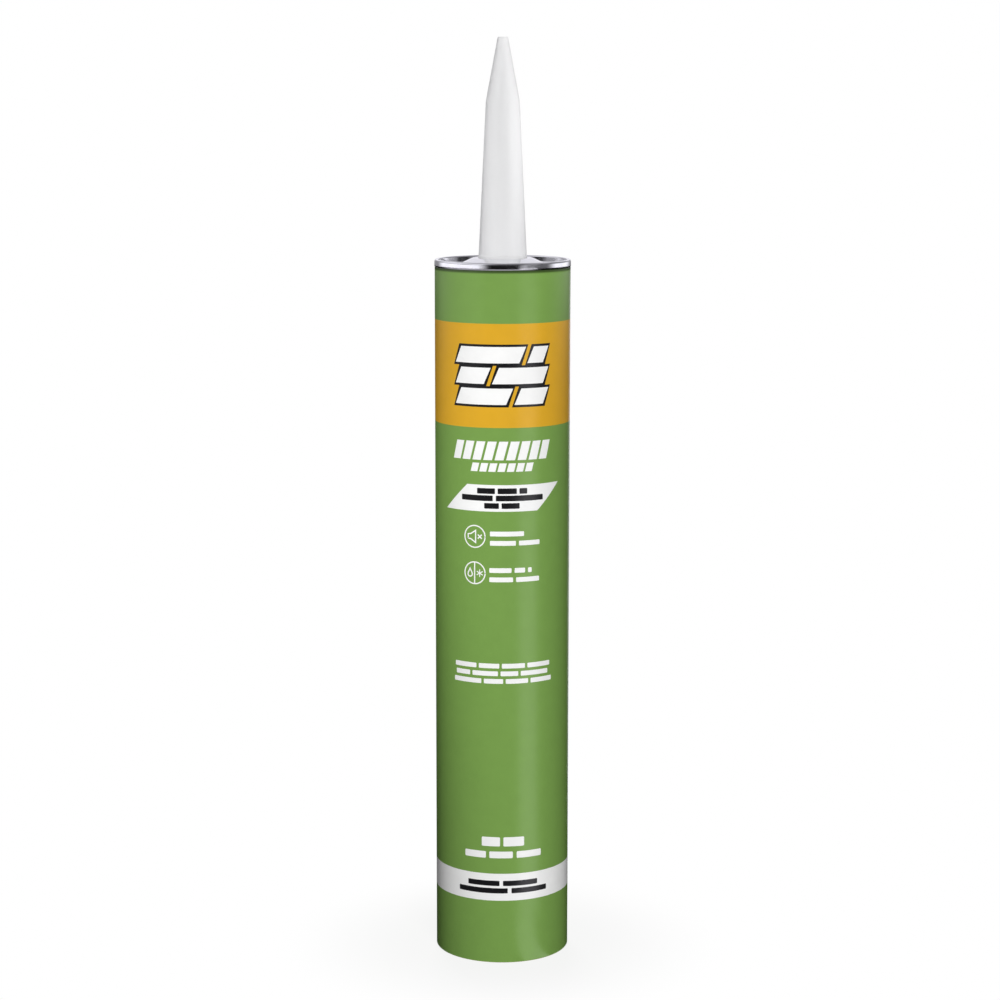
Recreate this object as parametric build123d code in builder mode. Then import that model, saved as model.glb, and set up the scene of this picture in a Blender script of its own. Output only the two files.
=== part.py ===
from build123d import *
import os
from math import atan2, cos, remainder, sin, tau

# Quart-size construction adhesive cartridge, standing on the open rear edge of its paper tube, nozzle up.
# All lengths are in millimetres. Z is the cartridge's axis and z = 0 is the tube's cut rear edge.

# Paper tube
tube_diameter = 62.2
tube_wall = 1.2
tube_length = 325.85

# Printed label, wrapped once around the tube with its lap at the back
label_thickness = 0.15
label_bottom_margin = 0.15
label_top_gap = 0.025
lap_groove_width = 0.3
lap_depth_share = 0.65

# Tinplate end, pressed from one sheet and seamed over the top of the tube
tin_gauge = 0.25
skirt_height = 3.45
skirt_gap = 0.04
lip_reach = 0.335
lip_height = 0.47
lip_bend = 0.5
crest_gap = 0.3
crest_outer_share = 0.52
crest_inner_share = 0.32
chuck_wall_gap = 0.05
chuck_wall_lean = 0.25
panel_depth = 2.35
panel_bend = 0.6
countersink_drop = 0.9
countersink_width = 1.1
countersink_lean = 0.5
countersink_bend = 0.45
collar_rise = 0.6
collar_land = 2.47
collar_slope_width = 6.5
collar_foot_bend = 6.0
collar_top_bend = 3.5
nozzle_hole_gap = 0.06

# Groove that the skirt's curled lip presses into the tube
crimp_gap = 0.03
crimp_flank = 0.5

# Nozzle, one hollow moulding with a closed tip and a flange held under the collar
foot_diameter = 22.34
foot_height = 1.1
foot_step = 0.13
nozzle_shoulder_diameter = 15.46
nozzle_shoulder_height = 70.9
nozzle_shoulder_bend = 16.0
nozzle_cone_height = 28.7
nozzle_tip_diameter = 4.7
nozzle_tip_round = 0.45
nozzle_wall = 1.3
nozzle_tip_wall = 1.5
flange_reach = 2.8
flange_edge = 1.1
flange_gap = 0.05

# Foil membrane bonded under the flange, across the nozzle's inlet
foil_margin = 0.3
foil_thickness = 0.1

# Plunger, a moulded cup that faces the rear and carries a wiper lip at each end
plunger_recess = 9.75
plunger_body_gap = 0.6
plunger_lip_gap = 0.05
plunger_skirt_wall = 1.9
cup_depth = 12.0
cup_edge_round = 0.5
ledge_width = 2.0
rib_height = 4.5
crown_wall = 1.8
rear_lip_height = 1.6
rear_lip_taper = 0.7
front_lip_land = 0.6
front_lip_flare = 2.6
front_lip_thickness = 0.9
wiper_groove_width = 1.4
wiper_groove_depth = 1.6
hub_diameter = 10.0
rib_thickness = 1.2
rib_count = 12

# Adhesive, the paste that fills the tube between the plunger and the tinplate end
paste_gap = 0.05

tube_radius = tube_diameter / 2
bore_radius = tube_radius - tube_wall
label_radius = tube_radius + label_thickness
half_gauge = tin_gauge / 2

# Heights of the tinplate end
crest_top = tube_length + crest_gap + tin_gauge
lip_end = crest_top - skirt_height
label_top = lip_end - half_gauge - label_top_gap
collar_top = crest_top + collar_rise

# Middle line of the tinplate, from the curled lip over the crest and down to the nozzle's hole
skirt_middle = tube_radius + skirt_gap + half_gauge
chuck_wall_middle = bore_radius - chuck_wall_gap - half_gauge
crest_width = skirt_middle - chuck_wall_middle
crest_middle = crest_top - half_gauge
panel_middle = crest_top - panel_depth - half_gauge
countersink_middle = panel_middle - countersink_drop
countersink_outer = chuck_wall_middle - chuck_wall_lean
countersink_inner = countersink_outer - countersink_width
collar_middle = collar_top - half_gauge
foot_radius = foot_diameter / 2
nozzle_hole_radius = foot_radius + nozzle_hole_gap
collar_top_radius = nozzle_hole_radius + collar_land

tin_points = [
    (skirt_middle - lip_reach, lip_end),
    (skirt_middle, lip_end + lip_height),
    (skirt_middle, crest_middle),
    (chuck_wall_middle, crest_middle),
    (countersink_outer, countersink_middle),
    (countersink_inner, countersink_middle),
    (countersink_inner - countersink_lean, panel_middle),
    (collar_top_radius + collar_slope_width, panel_middle),
    (collar_top_radius, collar_middle),
    (nozzle_hole_radius, collar_middle),
]
crest_outer_bend = crest_width * crest_outer_share
crest_inner_bend = crest_width * crest_inner_share
tin_bends = [
    lip_bend,
    crest_outer_bend,
    crest_inner_bend,
    countersink_bend,
    countersink_bend,
    panel_bend,
    collar_foot_bend,
    collar_top_bend,
]


def shifted(points, bends, shift):
    """A bent line moved sideways: its points and bend radii, shift being positive towards the contents."""
    ways = [atan2(b[1] - a[1], b[0] - a[0]) for a, b in zip(points, points[1:])]
    turns = [remainder(after - before, tau) for before, after in zip(ways, ways[1:])]
    first, last = points[0], points[-1]
    moved = [(first[0] - shift * sin(ways[0]), first[1] + shift * cos(ways[0]))]
    for corner, way, turn in zip(points[1:], ways, turns):
        reach = shift / cos(turn / 2)
        across = way + turn / 2
        moved.append((corner[0] - reach * sin(across), corner[1] + reach * cos(across)))
    moved.append((last[0] - shift * sin(ways[-1]), last[1] + shift * cos(ways[-1])))
    radii = [bend - shift if turn > 0 else bend + shift for bend, turn in zip(bends, turns)]
    return moved, radii


def on_line(start, end, radius):
    """The point at a given radius on the straight line through two section points."""
    share = (radius - start[0]) / (end[0] - start[0])
    return (radius, start[1] + share * (end[1] - start[1]))


# Tube: spiral-wound paperboard, cut square at the rear and grooved under the seam at the top
crimp_root = skirt_middle - lip_reach - half_gauge - crimp_gap
with BuildPart() as tube:
    with BuildSketch(Plane.XZ) as tube_section:
        with BuildLine():
            Polyline(
                (bore_radius, 0),
                (tube_radius, 0),
                (tube_radius, label_top),
                (crimp_root, lip_end - half_gauge),
                (crimp_root, lip_end + half_gauge),
                (tube_radius, lip_end + half_gauge + crimp_flank),
                (tube_radius, tube_length),
                (bore_radius, tube_length),
                close=True,
            )
        make_face()
        outer_corner = tube_section.vertices().group_by(Axis.Y)[-1].sort_by(Axis.X)[-1]
        fillet(outer_corner, radius=crest_outer_bend - half_gauge - skirt_gap)
        bore_corner = tube_section.vertices().group_by(Axis.X)[0].sort_by(Axis.Y)[-1]
        fillet(bore_corner, radius=crest_inner_bend - half_gauge - chuck_wall_gap)
    revolve(axis=Axis.Z)

# Label: one printed sheet around the tube, with the shallow step of its glued lap at the back
with BuildPart() as label:
    with BuildSketch(Plane.XZ):
        with Locations((tube_radius, label_bottom_margin)):
            Rectangle(label_thickness, label_top - label_bottom_margin, align=(Align.MIN, Align.MIN))
    revolve(axis=Axis.Z)
    with BuildSketch(Plane.XY):
        with Locations((0, label_radius)):
            Rectangle(lap_groove_width, 2 * label_thickness * lap_depth_share)
    extrude(amount=crest_top, mode=Mode.SUBTRACT)

# Tinplate end: the sheet's two sides drawn from its middle line
with BuildPart() as metal_end:
    inner_points, inner_bends = shifted(tin_points, tin_bends, half_gauge)
    outer_points, outer_bends = shifted(tin_points, tin_bends, -half_gauge)
    with BuildSketch(Plane.XZ):
        with BuildLine():
            FilletPolyline(*inner_points, radius=inner_bends)
            FilletPolyline(*outer_points, radius=outer_bends)
            Line(inner_points[0], outer_points[0])
            Line(inner_points[-1], outer_points[-1])
        make_face()
    revolve(axis=Axis.Z)

# Nozzle: long cone with a soft shoulder and a closed tip, on a foot that rises through the collar
flange_points, flange_bends = shifted(tin_points, tin_bends, half_gauge + flange_gap)
*_, flange_slope_foot, flange_shoulder, _ = flange_points
flange_radius = collar_top_radius + flange_reach
flange_rim = on_line(flange_slope_foot, flange_shoulder, flange_radius)
flange_bottom = flange_rim[1] - flange_edge
nozzle_base = collar_top + foot_height
nozzle_base_radius = foot_radius - foot_step
nozzle_bore_radius = nozzle_base_radius - nozzle_wall
shoulder_radius = nozzle_shoulder_diameter / 2
tip_radius = nozzle_tip_diameter / 2
nozzle_shoulder = collar_top + nozzle_shoulder_height
nozzle_tip = nozzle_shoulder + nozzle_cone_height
with BuildPart() as nozzle:
    with BuildSketch(Plane.XZ):
        with BuildLine():
            FilletPolyline(
                (0, nozzle_tip - nozzle_tip_wall),
                (tip_radius - nozzle_wall, nozzle_tip - nozzle_tip_wall),
                (shoulder_radius - nozzle_wall, nozzle_shoulder),
                (nozzle_bore_radius, nozzle_base),
                (nozzle_bore_radius, flange_bottom),
                (flange_radius, flange_bottom),
                flange_rim,
                flange_shoulder,
                (foot_radius, flange_shoulder[1]),
                (foot_radius, nozzle_base),
                (nozzle_base_radius, nozzle_base),
                (shoulder_radius, nozzle_shoulder),
                (tip_radius, nozzle_tip),
                (0, nozzle_tip),
                radius=[
                    0,
                    nozzle_shoulder_bend - nozzle_wall,
                    0,
                    0,
                    0,
                    0,
                    flange_bends[-1],
                    0,
                    0,
                    0,
                    nozzle_shoulder_bend,
                    nozzle_tip_round,
                ],
            )
            Line((0, nozzle_tip), (0, nozzle_tip - nozzle_tip_wall))
        make_face()
    revolve(axis=Axis.Z)

# Foil seal: the membrane that is pierced through the nozzle before use
foil_bottom = flange_bottom - foil_thickness
with BuildPart() as foil_seal:
    with BuildSketch(Plane.XY.offset(foil_bottom)):
        Circle(flange_radius - foil_margin)
    extrude(amount=foil_thickness)

# Plunger: skirt, ledge and crown turned from one section, with ribs from the hub to the skirt
body_radius = bore_radius - plunger_body_gap
lip_radius = bore_radius - plunger_lip_gap
cup_radius = body_radius - plunger_skirt_wall
recess_radius = cup_radius - ledge_width
plunger_rear = plunger_recess
seat_height = plunger_rear + cup_depth
crown_underside = seat_height + rib_height
plunger_front = crown_underside + crown_wall
front_lip_inside = lip_radius - front_lip_thickness
with BuildPart() as plunger:
    with BuildSketch(Plane.XZ):
        with BuildLine():
            Polyline(
                (cup_radius, plunger_rear),
                (lip_radius, plunger_rear),
                (lip_radius, plunger_rear + rear_lip_height),
                (body_radius, plunger_rear + rear_lip_height + rear_lip_taper),
                (body_radius, plunger_front - front_lip_land - front_lip_flare),
                (lip_radius, plunger_front - front_lip_land),
                (lip_radius, plunger_front),
                (front_lip_inside, plunger_front),
                (front_lip_inside - wiper_groove_width / 2, plunger_front - wiper_groove_depth),
                (front_lip_inside - wiper_groove_width, plunger_front),
                (0, plunger_front),
                (0, crown_underside),
                (recess_radius, crown_underside),
                (recess_radius, seat_height),
                (cup_radius, seat_height),
                close=True,
            )
        make_face()
    revolve(axis=Axis.Z)
    rear_rim = plunger.edges().filter_by(GeomType.CIRCLE).group_by(Axis.Z)[0].sort_by(SortBy.RADIUS)[0]
    fillet(rear_rim, radius=cup_edge_round)
    with BuildSketch(Plane.XY.offset(seat_height)):
        Circle(hub_diameter / 2)
        with PolarLocations(recess_radius / 2, rib_count):
            Rectangle(recess_radius + ledge_width, rib_thickness)
    extrude(amount=rib_height)

# Adhesive: flat on the plunger's crown, its top shaped by the tinplate, the flange and the foil
paste_radius = bore_radius - paste_gap
paste_bottom = plunger_front + paste_gap
paste_points, paste_bends = shifted(tin_points, tin_bends, half_gauge + paste_gap)
*_, sink_corner, panel_corner, slope_foot, slope_head, _ = paste_points
sink_bend, panel_corner_bend, slope_foot_bend = paste_bends[4:7]
paste_top = foil_bottom - paste_gap
flange_pocket_radius = flange_radius + paste_gap
with BuildPart() as adhesive:
    with BuildSketch(Plane.XZ):
        with BuildLine():
            FilletPolyline(
                (0, paste_bottom),
                (paste_radius, paste_bottom),
                (paste_radius, sink_corner[1]),
                sink_corner,
                panel_corner,
                slope_foot,
                on_line(slope_foot, slope_head, flange_pocket_radius),
                (flange_pocket_radius, paste_top),
                (0, paste_top),
                radius=[0, 0, sink_bend, panel_corner_bend, slope_foot_bend, 0, 0],
            )
            Line((0, paste_top), (0, paste_bottom))
        make_face()
    revolve(axis=Axis.Z)

os.makedirs("parts", exist_ok=True)

tube.part.label = "tube"
export_step(tube.part, "parts/tube.step")

label.part.label = "label"
export_step(label.part, "parts/label.step")

metal_end.part.label = "metal_end"
export_step(metal_end.part, "parts/metal_end.step")

nozzle.part.label = "nozzle"
export_step(nozzle.part, "parts/nozzle.step")

foil_seal.part.label = "foil_seal"
export_step(foil_seal.part, "parts/foil_seal.step")

plunger.part.label = "plunger"
export_step(plunger.part, "parts/plunger.step")

adhesive.part.label = "adhesive"
export_step(adhesive.part, "parts/adhesive.step")
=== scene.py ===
from math import atan2, ceil, cos, pi, radians, remainder, sin, tan, tau

import bmesh
import bpy
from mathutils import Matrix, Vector


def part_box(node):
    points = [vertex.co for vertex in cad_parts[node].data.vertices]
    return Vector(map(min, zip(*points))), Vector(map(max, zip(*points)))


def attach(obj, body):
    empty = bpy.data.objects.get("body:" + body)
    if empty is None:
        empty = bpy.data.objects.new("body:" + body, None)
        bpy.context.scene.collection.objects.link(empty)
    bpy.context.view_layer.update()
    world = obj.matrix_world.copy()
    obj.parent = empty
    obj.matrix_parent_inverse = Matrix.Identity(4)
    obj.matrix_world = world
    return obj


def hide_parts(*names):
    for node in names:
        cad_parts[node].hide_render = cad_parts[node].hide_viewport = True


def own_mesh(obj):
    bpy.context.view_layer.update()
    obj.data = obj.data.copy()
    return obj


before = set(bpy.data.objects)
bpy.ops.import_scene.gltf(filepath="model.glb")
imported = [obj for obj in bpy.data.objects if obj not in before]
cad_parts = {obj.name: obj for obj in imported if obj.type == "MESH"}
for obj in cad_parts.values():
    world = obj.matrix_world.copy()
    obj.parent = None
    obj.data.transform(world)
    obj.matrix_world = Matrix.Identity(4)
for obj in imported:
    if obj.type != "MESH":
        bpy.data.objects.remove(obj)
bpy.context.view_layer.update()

# Construction adhesive cartridge on its open rear edge, nozzle up, printed front towards -Y.
# Every length is in metres; MM writes the small ones in millimetres.
MM = 0.001


def sizes(node):
    """A round CAD node's radius, bottom and top."""
    low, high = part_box(node)
    return high.x, low.z, high.z


# Sizes read from the frame
LABEL_RADIUS, LABEL_BOTTOM, LABEL_TOP = sizes("label")
TUBE_RADIUS, _, TUBE_TOP = sizes("tube")
FLANGE_RADIUS, NOZZLE_BOTTOM, NOZZLE_TOP = sizes("nozzle")
FOIL_RADIUS, FOIL_BOTTOM, FOIL_TOP = sizes("foil_seal")
PLUNGER_LIP_RADIUS, PLUNGER_REAR, PLUNGER_FRONT = sizes("plunger")
PASTE_RADIUS, PASTE_BOTTOM, _ = sizes("adhesive")
COLLAR_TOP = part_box("metal_end")[1].z
SKIRT_RADIUS = -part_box("metal_end")[0].x

# Turning: segments around the axis, and the step of a rounded bend
TURN_SEGMENTS = 256
BEND_STEP = radians(11)
WELD = 0.0005 * MM
SHARP_EDGE = radians(32)
FACE_TOLERANCE = 0.01 * MM

# Tube wall and its liner
TUBE_WALL = 1.2 * MM
BORE_RADIUS = TUBE_RADIUS - TUBE_WALL
CRIMP_DEPTH = 0.325 * MM
CRIMP_HALF_HEIGHT = 0.125 * MM
CRIMP_FLANK = 0.5 * MM
LINER_LAP_WIDTH = 7 * MM
LINER_LAP_THICKNESS = 0.025 * MM
LINER_LAP_CLIMB = 118 * MM
LINER_LAP_STEPS = 800

# Tinplate end
TIN_GAUGE = 0.25 * MM
CREST_DROP = 0.6 * MM
CREST_OUTER_SHARE = 0.52
CREST_INNER_SHARE = 0.32
SKIRT_HEIGHT = 3.45 * MM
SKIRT_GAP = 0.04 * MM
SKIRT_CROWN = 0.05 * MM
SKIRT_STEP = 0.3 * MM
LIP_REACH = 0.335 * MM
LIP_HEIGHT = 0.47 * MM
LIP_BEND = 0.5 * MM
CHUCK_WALL_GAP = 0.05 * MM
CHUCK_WALL_LEAN = 0.25 * MM
PANEL_DEPTH = 2.35 * MM
PANEL_BEND = 0.6 * MM
COUNTERSINK_DROP = 0.9 * MM
COUNTERSINK_WIDTH = 1.1 * MM
COUNTERSINK_LEAN = 0.5 * MM
COUNTERSINK_BEND = 0.45 * MM
COLLAR_LAND = 2.47 * MM
COLLAR_SLOPE_WIDTH = 6.5 * MM
COLLAR_FOOT_BEND = 6 * MM
COLLAR_TOP_BEND = 3.5 * MM
NOZZLE_HOLE_GAP = 0.06 * MM

# Nozzle
FOOT_RADIUS = 11.17 * MM
FOOT_HEIGHT = 1.1 * MM
FOOT_STEP = 0.13 * MM
FOOT_EDGE_ROUND = 0.25 * MM
SHOULDER_RADIUS = 7.73 * MM
SHOULDER_HEIGHT = 70.9 * MM
SHOULDER_BEND = 16 * MM
TIP_RADIUS = 2.35 * MM
TIP_ROUND = 0.45 * MM
NOZZLE_WALL = 1.3 * MM
TIP_WALL = 1.5 * MM
FLANGE_GAP = 0.05 * MM

# Plunger
PLUNGER_BODY_STEP = 0.55 * MM
PLUNGER_SKIRT_WALL = 1.9 * MM
CUP_DEPTH = 12 * MM
CUP_EDGE_ROUND = 0.5 * MM
LEDGE_WIDTH = 2 * MM
RIB_HEIGHT = 4.5 * MM
RIB_THICKNESS = 1.2 * MM
RIB_EDGE_ROUND = 0.3 * MM
RIB_COUNT = 12
HUB_RADIUS = 5 * MM
REAR_LIP_HEIGHT = 1.6 * MM
REAR_LIP_TAPER = 0.7 * MM
FRONT_LIP_LAND = 0.6 * MM
FRONT_LIP_FLARE = 2.6 * MM
FRONT_LIP_THICKNESS = 0.9 * MM
WIPER_GROOVE_WIDTH = 1.4 * MM
WIPER_GROOVE_DEPTH = 1.6 * MM
LIP_EDGE_ROUND = 0.2 * MM
RECESS_ROUND = 0.4 * MM
BODY_REAR_BEND = 0.3 * MM
BODY_FRONT_BEND = 0.5 * MM
WIPER_GROOVE_ROUND = 0.2 * MM

# Label sheet
LABEL_THICKNESS = 0.13 * MM
LABEL_LAP = 6 * MM
LABEL_LAP_RAMP = 2.5 * MM
LABEL_COLUMNS = 320
LABEL_ROWS = 48

# Print: ink heights above the label, the step that keeps crossing strokes apart, and the longest face
FIRST_INK = 0.02 * MM
SECOND_INK = 0.035 * MM
INK_ROOT = 0.01 * MM
CROSSING_STEP = 0.002 * MM
PRINT_STEP = 0.6 * MM
CORNER_ANGLES = (0, 30, 60, 90)
MITRE_LIMIT = 0.4

# Heights of the printed fields, and the painted shade that darkens the label's top edge where it goes under
# the seam
GOLD_BOTTOM, GOLD_TOP = 252.1 * MM, 299.2 * MM
WHITE_BOTTOM, WHITE_TOP = 30.1 * MM, 43.1 * MM
PAINTED_SHADE_START, PAINTED_SHADE_END = 1.5 * MM, 0.5 * MM
PAINTED_SHADE_DARKNESS = 0.75

# Print layout, in millimetres round the drum from the front middle and up it from the rear edge.
# Title rows of leaning blocks: bottom, height, left, right, lean and count
TITLE_ROWS = ((237.4, 8.5, -24.6, 22.6, 2.2, 9), (232.1, 3.9, -15.0, 14.6, 1.0, 7))
BLOCK_SHARE = 0.78

# Slanted panel: left, right, low and high, and how far it leans
SLANTED_PANEL = (-29.5, 16.7, 213.8, 226.0)
SLANTED_PANEL_LEAN = 12.7 * MM

# Lines of bars in place of words: bottom, height, corner, and the bars' spans
WHITE_BARS = (
    (202.4, 2.2, 0.35, ((-5.7, 10.0),)),
    (198.1, 2.2, 0.35, ((-5.7, 6.2), (7.6, 17.9))),
    (185.5, 2.2, 0.35, ((-6.0, 4.2), (5.6, 10.6), (12.0, 13.8))),
    (181.2, 2.2, 0.35, ((-6.0, 4.9), (6.3, 17.7))),
    (140.9, 2.2, 0.35, ((-23.6, -12.2), (-11.0, -1.4), (-0.2, 10.6), (11.8, 23.9))),
    (137.3, 2.2, 0.35, ((-23.0, -15.4), (-14.2, -2.0), (-0.8, 7.4), (8.6, 22.7))),
    (133.7, 2.2, 0.35, ((-24.2, -9.8), (-8.6, 0.4), (1.6, 12.2), (13.4, 25.0))),
    (56.3, 4.4, 0.5, ((-9.6, -1.0), (0.6, 10.4))),
    (50.6, 3.2, 0.5, ((-18.1, -7.6), (-6.0, 5.0), (6.8, 19.2))),
)
BLACK_BARS = (
    (221.9, 2.6, 0.35, ((-11.8, -3.4), (-2.2, 6.6), (7.8, 11.5))),
    (218.6, 2.6, 0.35, ((-19.7, -4.4), (-3.0, 19.6))),
    (215.1, 2.6, 0.35, ((-8.4, -1.6), (-0.4, 7.9))),
    (37.2, 2.5, 0.35, ((-16.5, -1.2), (0.4, 17.2))),
    (33.6, 2.5, 0.35, ((-21.4, 2.6), (4.4, 22.4))),
)

# Round signs: a ring, and motifs in millimetres from its centre. A star's arm has an angle and its own lift
SIGN_RADIUS = 5.05 * MM
SIGN_LINE = 0.55 * MM
RING_STEPS = 56
SOUND_SIGN = (-13.05 * MM, 202.0 * MM)
HORN = ((-3.3, -1.0), (-1.9, -1.2), (0.5, -2.8), (0.5, 2.8), (-1.9, 1.2), (-3.3, 1.0))
CROSS_LEFT, CROSS_RIGHT, CROSS_HALF_HEIGHT = 1.6, 3.5, 0.95
WEATHER_SIGN = (-13.05 * MM, 185.1 * MM)
DIVIDER = ((0.0, -5.0), (0.0, 5.0))
DROP_X, DROP_TIP, DROP_MIDDLE, DROP_RADIUS = -2.3, 2.0, -0.6, 1.15
DROP_ANGLES = range(30, -240, -30)
STAR_X, STAR_REACH = 2.5, 1.7
STAR_ARMS = ((30, 1 / 3), (90, 1), (150, 5 / 3))
STAR_LINE = 0.4 * MM

# Board emblem: staggered floor boards, each with its left, its right and its row
BOARDS = (
    *((-23.2, 1.6, 0), (5.4, 19.4, 0)),
    *((-23.2, -8.6, 1), (-4.8, 19.4, 1)),
    *((-23.2, 7.6, 2), (11.4, 19.4, 2)),
)
BOARD_BASE = 262.6 * MM
BOARD_HEIGHT = 7.4 * MM
BOARD_PITCH = 9.4 * MM
BOARD_EDGE = 1.1 * MM
BOARD_LEAN = 3.2 * MM
BOARD_INK_STEP = 0.003 * MM

# Colours, as linear values; noise blends the two of a pair
WHITE = (1, 1, 1, 1)
BLACK = (0, 0, 0, 1)
GREEN = (0.184, 0.335, 0.074, 1)
GOLD = (0.710, 0.387, 0.022, 1)
PAPER_WHITE = (0.92, 0.92, 0.915, 1)
INK_BLACK = (0.010, 0.010, 0.011, 1)
TIN_COLOURS = ((0.80, 0.80, 0.83, 1), (0.88, 0.88, 0.90, 1))
FOIL_COLOURS = ((0.70, 0.70, 0.72, 1), (0.86, 0.86, 0.87, 1))
KRAFT_COLOURS = ((0.33, 0.21, 0.115, 1), (0.55, 0.39, 0.24, 1))
PASTE_COLOURS = ((0.80, 0.78, 0.72, 1), (0.88, 0.87, 0.82, 1))
WHITE_PLASTIC = ((0.92, 0.92, 0.93, 1), (0.89, 0.89, 0.905, 1))
NATURAL_PLASTIC = ((0.80, 0.79, 0.73, 1), (0.74, 0.73, 0.67, 1))

# Finishes: lowest and highest roughness, and the shares at which fine patterns add to coarse ones.
# Varnish and satin stay above 0.274, because below it the denoiser takes a surface for a mirror.
VARNISH_ROUGHNESS = (0.28, 0.34)
TIN_ROUGHNESS = (0.09, 0.17)
SATIN_ROUGHNESS = (0.28, 0.4)
MOULDED_RANGE = 0.1
NOISE_LOW, NOISE_HIGH = 0.3, 0.7
MOTTLE_SHARE = 0.04
FIBRE_SHARE = 0.1
ROLLED_SHARE = 0.06
FLOW_SHARE = 0.6
GRAIN_SHARE = 0.15
PLY_THICKNESS = 0.3 * MM
PLY_TONE, PLY_RELIEF = 0.22, 0.3

# Camera, fitted to the photograph's outlines
CAMERA_DISTANCE = 1.14069
CAMERA_HEIGHT = 0.39838
CAMERA_PITCH = 0.1601
CAMERA_ROLL = -0.0009
LENS_MM = 89.168
SENSOR_MM = 36
SHIFT_X = -0.0028
CLIP_END = 60

# Floor, with the colours that it shows and that light bounces off, and the world's light
FLOOR_REACH = 20
FLOOR_PALE = (0.9, 0.9, 0.9, 1)
FLOOR_BOUNCE = (0.3, 0.3, 0.3, 1)
FLOOR_FADE_START = 0.035
FLOOR_FADE_END = 0.11
FLOOR_WHITE = 0.85
AMBIENT = 0.12

# Soft boxes: azimuth and power. Spots: azimuth, height, aimed height, cone in degrees, softness and power
BOX_DISTANCE, BOX_HEIGHT, BOX_AIM = 2.3, 0.75, 0.17
BOX_WIDTH, BOX_DEPTH = 1.1, 0.8
SOFT_BOXES = (("key", 9, 51.5), ("back key", 188, 44))
SPOT_DISTANCE = 1.0
SPOT_BLEND = 0.8
SPOTS = (
    ("left spot", -75, 0.40, 0.225, 17, 0.1, 15),
    ("left nozzle spot", -102, 0.55, 0.38, 8, 0.05, 19),
    ("right nozzle spot", 102, 0.55, 0.38, 8, 0.05, 30),
)

# Studio cards: rings that only mirror-like rays meet. Corners of their outline, as distance and height
CLOTH_START, CLOTH_MIDDLE, CLOTH_END = (0.0314, 0.0003), (0.1, 0.0003), (1.4, 0.0003)
LIP_CARD_START, LIP_CARD_END = (0.0316, 0.3215), (0.046, 0.3215)
LOW_WALL_TOP, WALL_TOP, HIGH_WALL_TOP, UPPER_WALL_TOP = (1.4, 0.22), (1.4, 0.35), (1.4, 0.42), (1.4, 0.62)
CEILING_START, CEILING_BEND, CEILING_TOP = (1.5, 0.62), (0.9, 1.25), (0.0, 1.7)

# Each card: lower and upper edge, brightness, softness of its patches' ends in degrees, and the patches, as
# spans of azimuth with their own brightness
CARD_STEPS = 60
CARD_TINT = (0.95, 0.94, 1.0, 1)
DARK, BRIGHT = 0.003, 1.65
NEAR_STRIPS = ((20, 46, BRIGHT), (160, 168, BRIGHT))
STRIPS = ((28, 59, BRIGHT), (158, 170, BRIGHT))
FRONT, RIGHT, BACK = (-33, 36), (36, 91), (144, 232)
WALL_PATCHES = ((*FRONT, 0.003), (*RIGHT, 0.15), (*BACK, 0.3))
HIGH_PATCHES = ((*FRONT, 0.04), (*RIGHT, 0.22), (*BACK, 0.3), (160, 200, 0.9))
UPPER_PATCHES = ((-85, -53, 0.01), (-30, 34, 0.09), (62, 92, 0.01), (165, 195, 0.95))
CEILING_PATCHES = ((-135, -33, 1.0), (-15, 40, 0.07), (150, 210, 0.9))
CARDS = (
    ("near cloth", CLOTH_START, CLOTH_MIDDLE, DARK, 3, NEAR_STRIPS),
    ("far cloth", CLOTH_MIDDLE, CLOTH_END, DARK, 2, STRIPS),
    ("lip card", LIP_CARD_START, LIP_CARD_END, DARK, 10, ((-60, 28, 0.4),)),
    ("low wall", CLOTH_END, LOW_WALL_TOP, DARK, 2, STRIPS),
    ("wall", LOW_WALL_TOP, WALL_TOP, 1.3, 13, WALL_PATCHES),
    ("high wall", WALL_TOP, HIGH_WALL_TOP, 1.2, 13, HIGH_PATCHES),
    ("upper wall", HIGH_WALL_TOP, UPPER_WALL_TOP, 0.3, 5, UPPER_PATCHES),
    ("low ceiling", CEILING_START, CEILING_BEND, 0.3, 12, CEILING_PATCHES),
    ("high ceiling", CEILING_BEND, CEILING_TOP, 0.45, 0, ()),
)


class Wiring:
    """Adds nodes to one tree. An input takes a plain value, or another node's output."""

    def __init__(self, tree):
        self.tree = tree

    def feed(self, socket, value):
        if isinstance(value, bpy.types.NodeSocket):
            self.tree.links.new(value, socket)
        else:
            socket.default_value = value

    def add(self, kind, inputs=None, **settings):
        node = self.tree.nodes.new(kind)
        for name, value in settings.items():
            setattr(node, name, value)
        for name, value in (inputs or {}).items():
            socket = next(s for s in node.inputs if s.name == name and s.enabled)
            self.feed(socket, value)
        return node

    def fed(self, node, *terms):
        """Feeds a node's inputs in their order, and returns its first output."""
        for socket, term in zip(node.inputs, terms):
            self.feed(socket, term)
        return node.outputs[0]

    def math(self, operation, *terms):
        return self.fed(self.add("ShaderNodeMath", operation=operation), *terms)

    def plus(self, first, second):
        return self.math("ADD", first, second)

    def minus(self, first, second):
        return self.math("SUBTRACT", first, second)

    def times(self, first, second):
        return self.math("MULTIPLY", first, second)

    def smooth(self, value, start, end, low, high):
        """A smooth passage from low to high as the value goes from start to end."""
        node = self.add("ShaderNodeMapRange", interpolation_type="SMOOTHSTEP")
        return self.fed(node, value, start, end, low, high)

    def vector(self, x, y, z):
        return self.add("ShaderNodeCombineXYZ", {"X": x, "Y": y, "Z": z}).outputs[0]

    def split(self, vector):
        return self.add("ShaderNodeSeparateXYZ", {"Vector": vector}).outputs

    def position(self):
        """X, Y and Z of a mesh's points."""
        return self.split(self.add("GeometryNodeInputPosition").outputs[0])

    def blend(self, factor, first, second):
        """The first colour where the factor is 0, the second where it is 1."""
        colours = {"Factor": factor, "A": first, "B": second}
        return self.add("ShaderNodeMix", colours, data_type="RGBA").outputs[2]


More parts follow.
